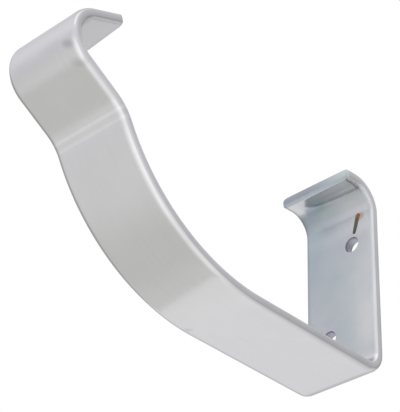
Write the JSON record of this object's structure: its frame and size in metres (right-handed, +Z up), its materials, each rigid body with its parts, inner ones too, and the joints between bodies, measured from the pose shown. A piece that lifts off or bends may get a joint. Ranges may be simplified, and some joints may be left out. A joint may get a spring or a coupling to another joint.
{
  "type": "gutter bracket",
  "caption": "Flat steel bar bent into an ogee gutter bracket, with a hooked front, a flat sole and a drilled back plate that ends in a turned lip.",
  "frame": {"origin": "on the back face, on the bar's centre line across its width, level with the upper fixing hole", "axes": "+Y out of the back face into the fascia board, -Y towards the street, +Z up, X along the gutter"},
  "size_m": [0.025, 0.1205, 0.064],
  "materials": {
    "zinc_plated_steel": "bright zinc plate, slightly streaked, with dark oxide in the score mark above the upper hole"
  },
  "bodies": {
    "root": {"bent_strap": "zinc_plated_steel"}
  },
  "joints": []
}
